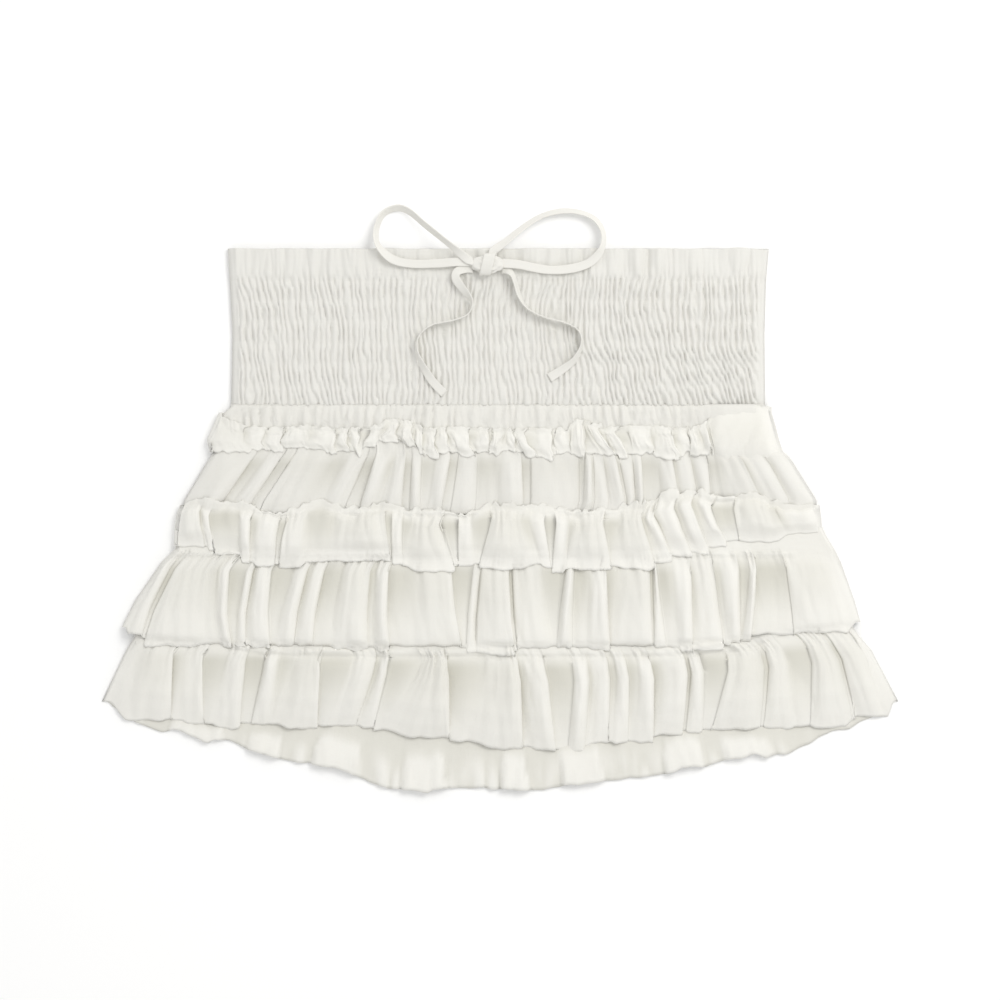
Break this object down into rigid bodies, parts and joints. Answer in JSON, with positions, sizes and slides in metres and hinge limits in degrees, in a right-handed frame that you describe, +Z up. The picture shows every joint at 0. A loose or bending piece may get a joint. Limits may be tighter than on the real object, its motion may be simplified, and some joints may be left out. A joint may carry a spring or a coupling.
{
  "type": "tiered ruffle skirt",
  "caption": "Short skirt with a smocked elastic waistband, a drawstring bow and tiers of gathered ruffles, laid flat.",
  "frame": {"origin": "centre of the laid-out skirt, on the surface it lies on", "axes": "+X across the skirt to the wearer's left, +Y from the hem up to the waist, +Z up from the surface"},
  "size_m": [0.5112, 0.378, 0.0212],
  "materials": {
    "waistband": "ivory cotton voile, shirred with elastic thread, matt and crinkled",
    "top_tier": "ivory cotton voile, gathered, matt",
    "narrow_frill": "ivory cotton voile, gathered narrow strip, matt",
    "short_flounce": "ivory cotton voile, gathered, matt",
    "middle_tier": "ivory cotton voile, gathered, matt",
    "bottom_tier": "ivory cotton voile, gathered, matt",
    "drawstring": "ivory cotton tape, flat woven, matt"
  },
  "bodies": {
    "root": {"waistband": "waistband", "top_tier": "top_tier", "narrow_frill": "narrow_frill", "short_flounce": "short_flounce", "middle_tier": "middle_tier", "bottom_tier": "bottom_tier", "drawstring_left_loop": "drawstring", "drawstring_right_loop": "drawstring", "drawstring_left_tail": "drawstring", "drawstring_right_tail": "drawstring", "drawstring_knot": "drawstring"}
  },
  "joints": []
}
